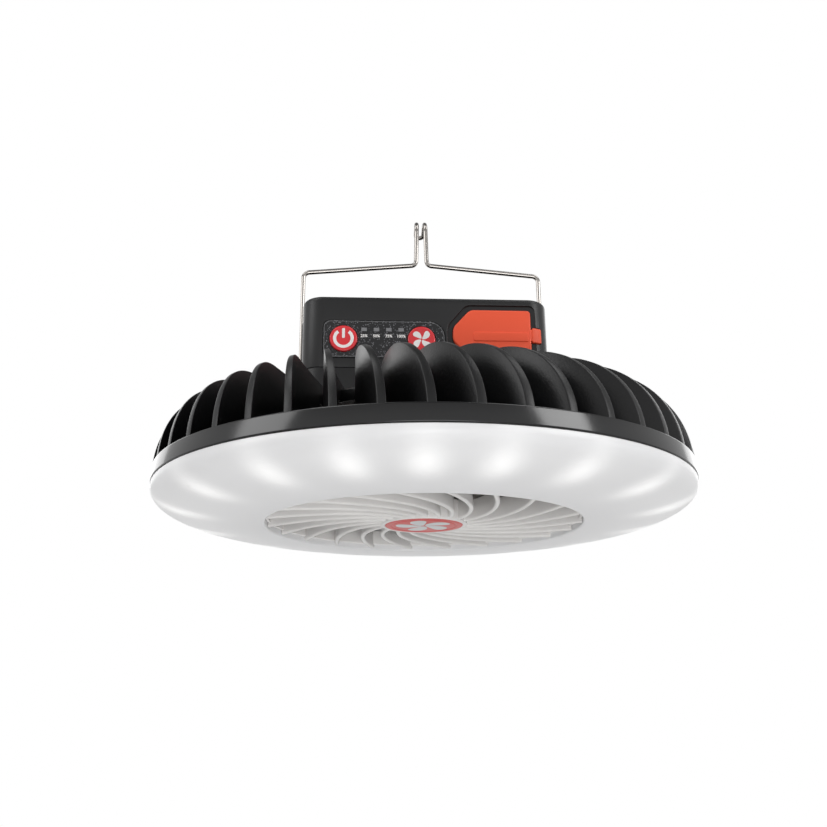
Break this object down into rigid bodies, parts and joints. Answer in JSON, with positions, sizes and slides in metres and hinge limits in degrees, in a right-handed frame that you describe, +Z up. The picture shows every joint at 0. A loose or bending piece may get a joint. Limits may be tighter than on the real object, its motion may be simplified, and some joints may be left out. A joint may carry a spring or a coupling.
{
  "type": "hanging camping fan with ring lamp",
  "caption": "Round finned fan unit with a white lamp ring and spiral grille below, battery and control box above, and a bent wire hanger.",
  "frame": {"origin": "centre of the lamp ring's flat bottom, on the fan's axis", "axes": "+Z up along the fan's axis, -Y out of the side with the buttons, +X towards the socket flap's end"},
  "size_m": [0.2306, 0.2306, 0.1489],
  "materials": {
    "lens": "milky white, translucent",
    "grille": "satin light grey",
    "badge": "gloss red with a plain emblem",
    "housing": "gloss band, satin fins",
    "fan": "satin light grey",
    "box": "satin black",
    "panel": "fine speckled black",
    "button": "satin red with white signs",
    "light_window": "grey light pipe",
    "flap": "orange red rubber",
    "wire": "polished steel",
    "steel": "zinc plated steel",
    "bush": "black nylon",
    "seal": "black rubber",
    "board": "white lacquered board",
    "chip": "yellow phosphor",
    "pcb": "green lacquered board",
    "switch": "black switch",
    "socket": "tinned shell",
    "magnet": "dark magnet",
    "winding": "copper winding",
    "cell": "blue sleeve",
    "tray": "black plastic",
    "contact": "nickel on brass",
    "foam": "grey foam",
    "lead_red": "red insulation",
    "lead_black": "black insulation"
  },
  "bodies": {
    "housing": {"lens_diffuser": "lens", "fan_grille": "grille", "hub_badge": "badge", "fin_housing": "housing", "lens_seal": "seal", "lens_screws": "steel", "led_board": "board", "led_chips": "chip", "led_screws": "steel", "motor_can": "steel", "motor_cap": "steel", "motor_bearings": "steel", "motor_stator": "winding", "motor_screws": "steel", "box_base": "box", "box_cover": "box", "box_screws": "steel", "control_panel": "panel", "button_switches": "switch", "indicator_lights": "light_window", "control_board": "pcb", "board_screws": "steel", "usb_a_port": "socket", "usb_c_port": "socket", "flap_strap": "flap", "battery_cells": "cell", "battery_holder": "tray", "battery_contacts": "contact", "battery_pad": "foam", "hanger_bushes": "bush", "lamp_lead": "lead_red", "motor_lead": "lead_black"},
    "rotor": {"impeller": "fan", "motor_shaft": "steel", "motor_rotor": "magnet"},
    "power_key": {"power_button": "button"},
    "fan_key": {"fan_button": "button"},
    "flap": {"port_flap": "flap"},
    "hanger": {"hanger_wire": "wire", "hanger_clips": "steel"}
  },
  "joints": [
    {"name": "fan_spin", "type": "hinge", "parent": "housing", "child": "rotor", "pos_m": [0, 0, 0.026], "axis": [0, 0, 1], "continuous": true},
    {"name": "power_press", "type": "slide", "parent": "housing", "child": "power_key", "axis": [0, 1, 0], "range_m": [0, 0.0008], "stiffness_N_per_m": 400},
    {"name": "fan_press", "type": "slide", "parent": "housing", "child": "fan_key", "axis": [0, 1, 0], "range_m": [0, 0.0008], "stiffness_N_per_m": 400},
    {"name": "flap_open", "type": "hinge", "parent": "housing", "child": "flap", "pos_m": [0.045, -0.0291, 0.0779], "axis": [0, 0, 1], "range_deg": [0, 120]},
    {"name": "hanger_swing", "type": "hinge", "parent": "housing", "child": "hanger", "pos_m": [0, 0, 0.058], "axis": [1, 0, 0], "range_deg": [-82, 92]}
  ]
}
